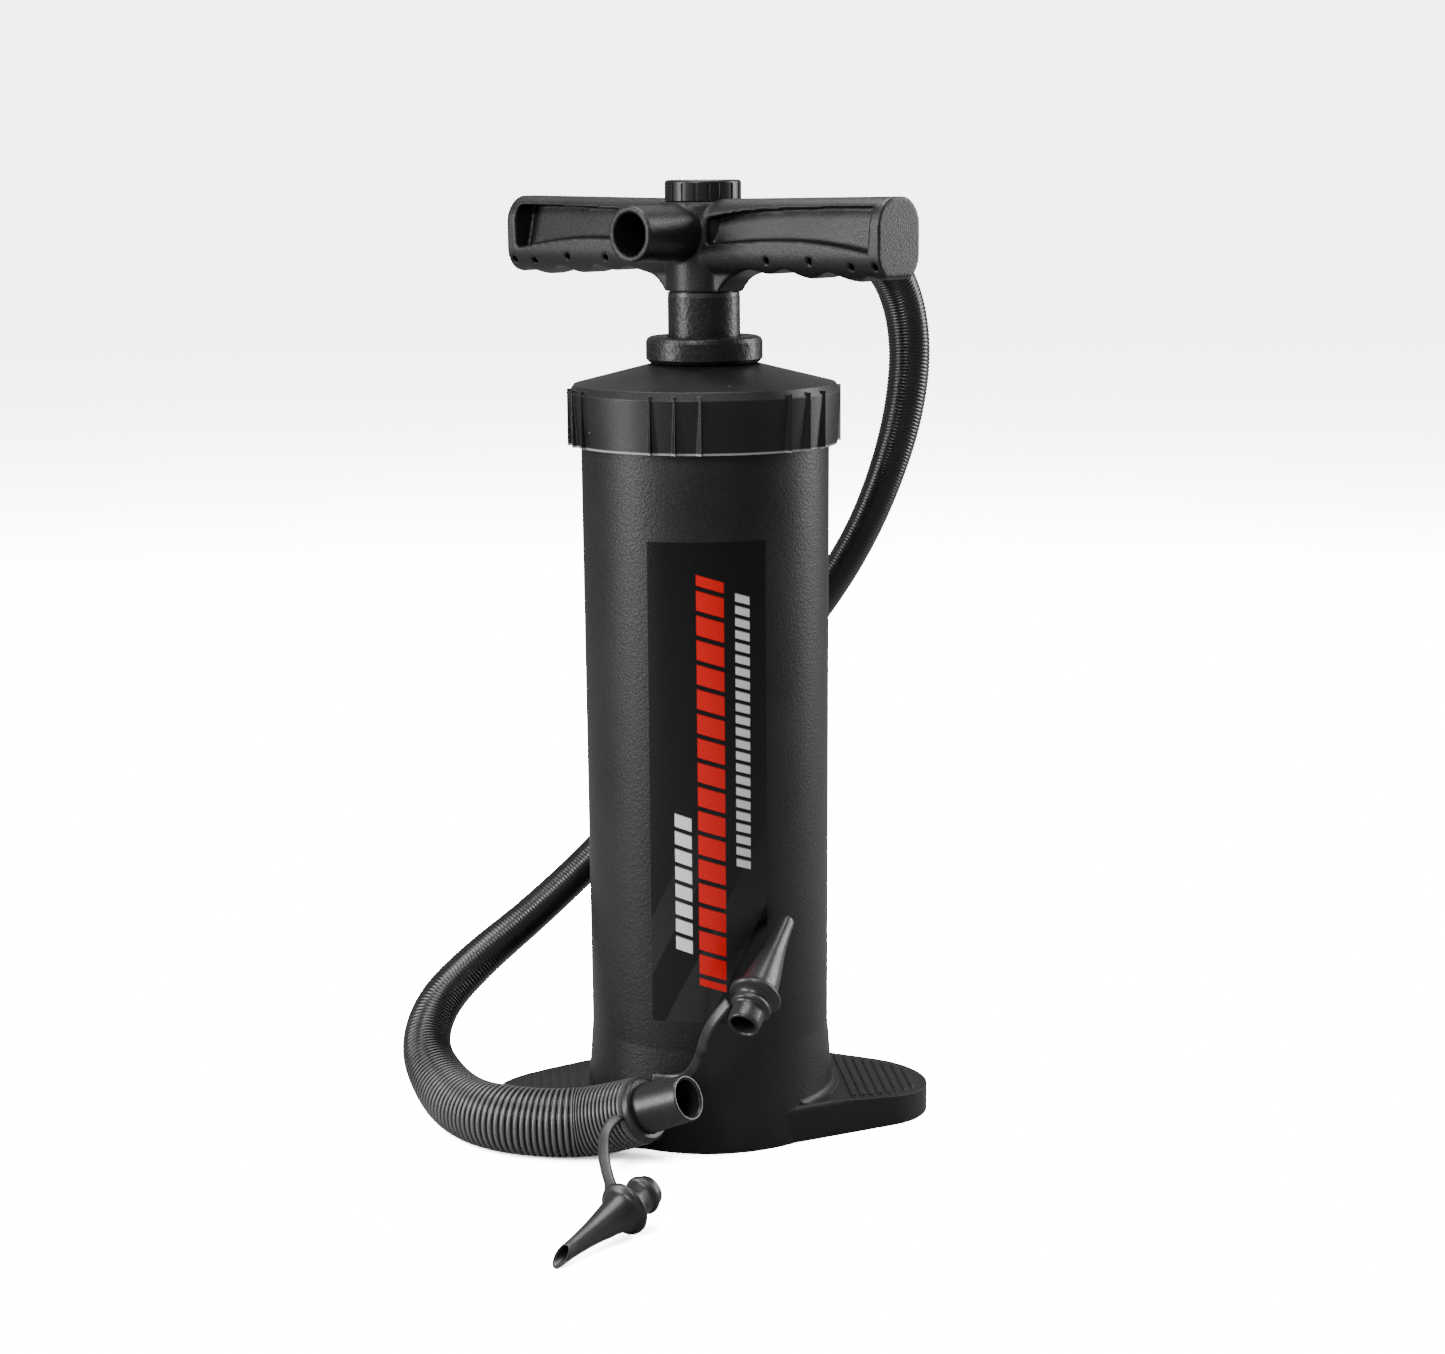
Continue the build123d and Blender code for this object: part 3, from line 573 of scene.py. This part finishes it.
# ================================================================ materials
class Nodes:
    """Short calls for building one material's node tree."""

    def __init__(self, name):
        self.material = bpy.data.materials.new(name)
        self.material.use_nodes = True
        self.tree = self.material.node_tree
        self.shader = self.tree.nodes["Principled BSDF"]
        self.place = self.add("ShaderNodeTexCoord").outputs["Object"]

    def add(self, kind, **inputs):
        node = self.tree.nodes.new(kind)
        for name, value in inputs.items():
            self.set(node, name.replace("_", " "), value)
        return node

    def set(self, node, socket, value):
        """Links the value to an input, named or numbered, or writes it there."""
        if isinstance(value, bpy.types.NodeSocket):
            self.tree.links.new(value, node.inputs[socket])
        else:
            node.inputs[socket].default_value = value

    def math(self, operation, a, b=None, clamp=False):
        node = self.tree.nodes.new("ShaderNodeMath")
        node.operation = operation
        node.use_clamp = clamp
        self.set(node, 0, a)
        if b is not None:
            self.set(node, 1, b)
        return node.outputs[0]

    def noise(self, size, detail=2.0, roughness=0.5, place=None):
        """Noise whose blobs are about size metres across."""
        place = self.place if place is None else place
        node = self.add("ShaderNodeTexNoise", Vector=place, Scale=1 / size, Detail=detail,
                        Roughness=roughness)
        return node.outputs["Fac"]

    def cells(self, size):
        """Distance from the middle of the nearest of many cells, each about size across."""
        node = self.add("ShaderNodeTexVoronoi", Vector=self.place, Scale=1 / size)
        return node.outputs["Distance"]

    def coordinates(self):
        """The point's X, Y and Z on the object."""
        node = self.tree.nodes.new("ShaderNodeSeparateXYZ")
        self.tree.links.new(self.place, node.inputs[0])
        return node.outputs

    def ramp(self, value, low, high, from_value=0.0, to_value=1.0):
        """Value stretched so that low gives from_value and high gives to_value."""
        node = self.tree.nodes.new("ShaderNodeMapRange")
        node.inputs["From Min"].default_value = low
        node.inputs["From Max"].default_value = high
        node.inputs["To Min"].default_value = from_value
        node.inputs["To Max"].default_value = to_value
        self.tree.links.new(value, node.inputs["Value"])
        return node.outputs["Result"]

    def mix(self, share, a, b):
        """Colour a, with a share of colour b."""
        node = self.tree.nodes.new("ShaderNodeMix")
        node.data_type = "RGBA"
        self.set(node, 0, share)
        for socket, colour in ((6, a), (7, b)):
            self.set(node, socket, (*colour, 1.0) if isinstance(colour, tuple) else colour)
        return node.outputs[2]

    def bevelled(self, radius):
        """The surface's normal, rounded over sharp edges."""
        node = self.tree.nodes.new("ShaderNodeBevel")
        node.samples = 4
        node.inputs["Radius"].default_value = radius
        return node.outputs["Normal"]

    def edges(self, rounded):
        """1 on sharp outer edges and 0 on open faces."""
        geometry = self.tree.nodes.new("ShaderNodeNewGeometry")
        dot = self.tree.nodes.new("ShaderNodeVectorMath")
        dot.operation = "DOT_PRODUCT"
        self.tree.links.new(geometry.outputs["Normal"], dot.inputs[0])
        self.tree.links.new(rounded, dot.inputs[1])
        return self.ramp(dot.outputs["Value"], 0.995, 0.90)

    def bump(self, height, distance, strength=1.0, normal=None):
        node = self.tree.nodes.new("ShaderNodeBump")
        node.inputs["Strength"].default_value = strength
        node.inputs["Distance"].default_value = distance
        self.tree.links.new(height, node.inputs["Height"])
        if normal is not None:
            self.tree.links.new(normal, node.inputs["Normal"])
        return node.outputs["Normal"]


def moulded_plastic(name, dark, light, roughness, grain, depth, edge_radius=0.4 * MM,
                    specks=0.0, rim_highlight_below=None):
    """Moulded plastic with a leather-like grain, edges lightened partly as wear and partly as a
    painted highlight, and a few specks of dust. Where a height is given for the lowest edge, a
    pale painted highlight runs along that edge up to the height."""
    n = Nodes(name)
    rounded = n.bevelled(edge_radius)
    edge = n.edges(rounded)
    fine = n.noise(grain, 3.0, 0.6)
    cells = n.cells(grain * 1.5)
    height = n.math("ADD", n.math("MULTIPLY", fine, 0.6), n.math("MULTIPLY", cells, 0.7))
    patches = n.noise(30 * MM, 2.0)
    tone = n.math("ADD", n.math("MULTIPLY", patches, 0.5), n.math("MULTIPLY", fine, 0.5))
    colour = n.mix(n.ramp(tone, 0.35, 0.70), dark, light)
    # edges lightened: partly wear, partly a painted highlight along the edges
    worn_and_highlit_edge = n.math("MULTIPLY", edge, 0.6, clamp=True)
    colour = n.mix(worn_and_highlit_edge, colour, tuple(7.0 * c for c in light))
    if specks:
        dust = n.ramp(n.cells(9 * MM), 0.035, 0.02)
        dust = n.math("MULTIPLY", dust, specks, clamp=True)
        colour = n.mix(dust, colour, (0.45, 0.45, 0.45))
    # a pale painted highlight along the lowest edge, up to the given height
    if rim_highlight_below is not None:
        painted_rim_highlight = n.ramp(n.coordinates()["Z"], rim_highlight_below, rim_highlight_below - 0.5 * MM)
        painted_rim_highlight = n.math("MULTIPLY", painted_rim_highlight, 0.9, clamp=True)
        colour = n.mix(painted_rim_highlight, colour, (0.30, 0.30, 0.31))
    n.set(n.shader, "Base Color", colour)
    sheen = n.math("ADD", n.math("MULTIPLY", fine, 0.7), n.math("MULTIPLY", patches, 0.3))
    rough = n.ramp(sheen, 0.3, 0.7, roughness - 0.08, roughness + 0.10)
    n.set(n.shader, "Roughness", rough)
    n.set(n.shader, "Normal", n.bump(height, depth, 0.8, rounded))
    n.shader.inputs["Specular IOR Level"].default_value = 0.36
    return n.material


def smooth_plastic(name, dark, light, roughness):
    """Plain satin plastic: faint flow marks and fine handling scratches."""
    n = Nodes(name)
    rounded = n.bevelled(0.3 * MM)
    edge = n.edges(rounded)
    patches = n.noise(18 * MM, 3.0)
    stretched = n.add("ShaderNodeMapping", Vector=n.place, Scale=(1.0, 1.0, 0.12))
    scratches = n.noise(0.5 * MM, place=stretched.outputs["Vector"])
    colour = n.mix(n.ramp(patches, 0.3, 0.7), dark, light)
    # edges lightened: partly wear, partly a painted highlight along the edges
    worn_and_highlit_edge = n.math("MULTIPLY", edge, 0.4, clamp=True)
    colour = n.mix(worn_and_highlit_edge, colour, tuple(2.5 * c for c in light))
    n.set(n.shader, "Base Color", colour)
    n.set(n.shader, "Roughness", n.ramp(scratches, 0.3, 0.7, roughness - 0.06, roughness + 0.08))
    n.set(n.shader, "Normal", n.bump(scratches, 0.02 * MM, 0.4, rounded))
    return n.material


def hose_plastic():
    """Soft corrugated hose: a pale painted highlight on the crests over dark grooves, where the
    ribs are deep.
    """
    n = Nodes("hose_black")
    patches = n.noise(14 * MM, 3.0)
    fine = n.noise(0.8 * MM, 2.0)
    colour = n.mix(n.ramp(patches, 0.35, 0.7), (0.003, 0.003, 0.0033), (0.008, 0.008, 0.0085))
    # the crests are lightened by rib height as a painted highlight
    crest = n.tree.nodes.new("ShaderNodeAttribute")
    crest.attribute_name = RIB_CREST
    painted_crest_highlight = n.ramp(crest.outputs["Fac"], 0.55, 1.0)
    colour = n.mix(n.math("MULTIPLY", painted_crest_highlight, 0.8, clamp=True), colour, (0.13, 0.13, 0.135))
    n.set(n.shader, "Base Color", colour)
    n.set(n.shader, "Roughness", n.ramp(fine, 0.3, 0.7, 0.22, 0.34))
    n.set(n.shader, "Normal", n.bump(fine, 0.015 * MM, 0.3))
    return n.material


def rubber():
    n = Nodes("rubber_black")
    fine = n.noise(0.6 * MM, 3.0)
    patches = n.noise(8 * MM, 2.0)
    colour = n.mix(n.ramp(patches, 0.3, 0.7), (0.010, 0.010, 0.010), (0.028, 0.028, 0.029))
    n.set(n.shader, "Base Color", colour)
    n.set(n.shader, "Roughness", n.ramp(fine, 0.3, 0.7, 0.30, 0.42))
    n.set(n.shader, "Normal", n.bump(fine, 0.04 * MM, 0.4))
    return n.material


def nylon():
    n = Nodes("nylon_natural")
    patches = n.noise(10 * MM, 3.0)
    fine = n.noise(0.7 * MM, 3.0)
    n.set(n.shader, "Base Color", n.mix(patches, (0.60, 0.58, 0.51), (0.74, 0.73, 0.68)))
    n.set(n.shader, "Roughness", n.ramp(fine, 0.3, 0.7, 0.38, 0.52))
    n.set(n.shader, "Normal", n.bump(fine, 0.03 * MM, 0.4))
    n.shader.inputs["Subsurface Weight"].default_value = 0.08
    n.shader.inputs["Subsurface Radius"].default_value = (0.003, 0.003, 0.0025)
    return n.material


def zinc_steel():
    n = Nodes("steel_zinc")
    patches = n.noise(1.5 * MM, 4.0)
    n.shader.inputs["Metallic"].default_value = 1.0
    n.set(n.shader, "Base Color", n.mix(patches, (0.50, 0.50, 0.50), (0.68, 0.69, 0.71)))
    n.set(n.shader, "Roughness", n.ramp(patches, 0.3, 0.7, 0.28, 0.45))
    n.set(n.shader, "Normal", n.bump(patches, 0.02 * MM, 0.5))
    return n.material


# ---------------------------------------------------------------- printed panel
PANEL_CENTRE_DEG = -95.5
PANEL_RADIUS = 47.9 * MM
# The panel's columns of blocks, in millimetres: left and right from the panel's middle,
# foot and head from its lower edge, the length of a step, the share of it that is printed
# and the steps' offset.
RED_COLUMN = (-3.9, 6.5, 14.0, 171.5, 9.3, 0.80, 0.0)
RIGHT_WHITE_COLUMN = (10.8, 16.4, 64.5, 169.5, 4.6, 0.66, 0.0)
LEFT_WHITE_COLUMN = (-13.0, -6.5, 24.0, 79.5, 6.8, 0.74, 2.0)
COLUMN_SLANT = 0.30                 # how much a block rises for each millimetre across
BAND_SLANT = 1.9


def printed_panel():
    """A gloss black panel with a plain pattern: a red column of slanted blocks between two
    broken white lines, over a dark ground with slanted lighter bands near its foot."""
    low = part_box("label")[0]
    n = Nodes("panel_print")
    x, y, z = n.coordinates()
    # distance along the panel's width, from its middle, in millimetres
    turn = math.radians(PANEL_CENTRE_DEG)
    across_x = n.math("MULTIPLY", x, -math.sin(turn))
    across_y = n.math("MULTIPLY", y, math.cos(turn))
    outward_x = n.math("MULTIPLY", x, math.cos(turn))
    outward_y = n.math("MULTIPLY", y, math.sin(turn))
    across = n.math("ADD", across_x, across_y)
    outward = n.math("ADD", outward_x, outward_y)
    angle = n.math("ARCTAN2", across, outward)
    u = n.math("MULTIPLY", angle, PANEL_RADIUS / MM)
    v = n.math("DIVIDE", n.math("SUBTRACT", z, low[2]), MM)
    slanted = n.math("ADD", v, n.math("MULTIPLY", u, COLUMN_SLANT))

    def band(value, start, end, blur=0.16):
        """1 between start and end."""
        rise = n.ramp(value, start - blur, start + blur)
        fall = n.ramp(value, end - blur, end + blur, 1.0, 0.0)
        return n.math("MULTIPLY", rise, fall)

    def blocks(pitch, share, offset):
        """1 over a share of each step along the panel's length."""
        step = n.math("FRACT", n.math("DIVIDE", n.math("ADD", slanted, offset), pitch))
        return band(step, 0.0, share, 0.3 / pitch)

    def column(left, right, foot, head, pitch, share, offset):
        inside = n.math("MULTIPLY", band(u, left, right), band(slanted, foot, head))
        return n.math("MULTIPLY", inside, blocks(pitch, share, offset))

    red = column(*RED_COLUMN)
    white = n.math("MAXIMUM", column(*RIGHT_WHITE_COLUMN), column(*LEFT_WHITE_COLUMN))
    diagonal = n.math("SUBTRACT", v, n.math("MULTIPLY", u, BAND_SLANT))
    low_band = band(diagonal, 2.0, 34.0, 0.5)
    high_band = band(diagonal, 62.0, 84.0, 0.5)
    low_part = n.ramp(v, 92.0, 20.0)
    sheen = n.math("MULTIPLY", n.math("MAXIMUM", low_band, high_band), low_part)
    sheen = n.math("MULTIPLY", sheen, 0.8)
    ground = n.mix(sheen, (0.0012, 0.0012, 0.0015), (0.016, 0.0165, 0.018))
    wear = n.noise(0.7 * MM, 3.0)
    colour = n.mix(red, ground, (0.55, 0.002, 0.002))
    colour = n.mix(white, colour, (0.62, 0.62, 0.62))
    n.set(n.shader, "Base Color", colour)
    n.set(n.shader, "Roughness", n.ramp(wear, 0.3, 0.7, 0.20, 0.30))
    n.set(n.shader, "Normal", n.bump(wear, 0.012 * MM, 0.35))
    n.shader.inputs["Specular IOR Level"].default_value = 0.35
    return n.material


def make_materials():
    # the height up to which the cap's lowest edge gets a pale painted highlight
    cap_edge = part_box("screw_cap")[0][2] + 1.0 * MM
    return {
        "barrel": moulded_plastic(
            "barrel_grain", (0.0025, 0.0025, 0.003), (0.010, 0.010, 0.011), 0.44,
            0.75 * MM, 0.13 * MM),
        "cap": moulded_plastic(
            "cap_satin", (0.003, 0.003, 0.0035), (0.008, 0.008, 0.009), 0.38,
            0.45 * MM, 0.035 * MM, 0.45 * MM, specks=0.8, rim_highlight_below=cap_edge),
        "rod": moulded_plastic(
            "rod_grain", (0.003, 0.003, 0.0035), (0.010, 0.010, 0.011), 0.36,
            1.1 * MM, 0.18 * MM),
        "handle": moulded_plastic(
            "handle_grain", (0.003, 0.003, 0.0035), (0.009, 0.009, 0.010), 0.42,
            0.55 * MM, 0.09 * MM),
        "fitting": smooth_plastic(
            "fitting_satin", (0.008, 0.008, 0.009), (0.016, 0.016, 0.017), 0.34),
        "knob": moulded_plastic(
            "knob_satin", (0.003, 0.003, 0.0035), (0.007, 0.007, 0.008), 0.33,
            0.5 * MM, 0.03 * MM),
        "hose": hose_plastic(),
        "rubber": rubber(),
        "nylon": nylon(),
        "steel": zinc_steel(),
        "panel": printed_panel(),
    }


NODE_MATERIALS = {
    "barrel": "barrel", "label": "panel", "screw_cap": "cap", "guide_collar": "rod",
    "guide_bush": "nylon", "rod_seal": "rubber", "cap_gasket": "rubber",
    "hose_end_fitting": "fitting", "tether_ring": "rubber", "piston_seal": "rubber",
    "piston_core": "nylon", "piston_plate_upper": "nylon", "piston_plate_lower": "nylon",
    "upper_inlet_flap": "rubber", "upper_outlet_flap": "rubber", "lower_inlet_flap": "rubber",
    "lower_outlet_flap": "rubber", "piston_screws": "steel", "piston_rod": "rod",
    "inner_air_tube": "nylon", "rod_plug": "nylon", "handle_seal": "rubber",
    "knob_cap": "knob", "hose_cuff": "fitting",
}


def dress_nodes():
    """Gives each CAD node that stays visible its material."""
    for node, kind in NODE_MATERIALS.items():
        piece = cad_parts[node]
        if piece.data.materials:
            piece.data.materials[0] = MATERIALS[kind]
        else:
            piece.data.materials.append(MATERIALS[kind])


# ================================================================ the scene
make_camera()
MATERIALS = make_materials()
make_hose()
nozzle_round = make_nozzle(
    "moulded_nozzle_round", "nozzle_round", NOZZLE_ROUND_MOUTH, NOZZLE_ROUND_TIP, slanted=False)
nozzle_slant = make_nozzle(
    "moulded_nozzle_slant", "nozzle_slant", NOZZLE_SLANT_MOUTH, NOZZLE_SLANT_TIP, slanted=True)
for nozzle in (nozzle_round, nozzle_slant):
    nozzle.data.materials.append(MATERIALS["fitting"])
make_straps((nozzle_round, nozzle_slant))
make_handle()
dress_nodes()
make_studio()

bpy.context.view_layer.update()
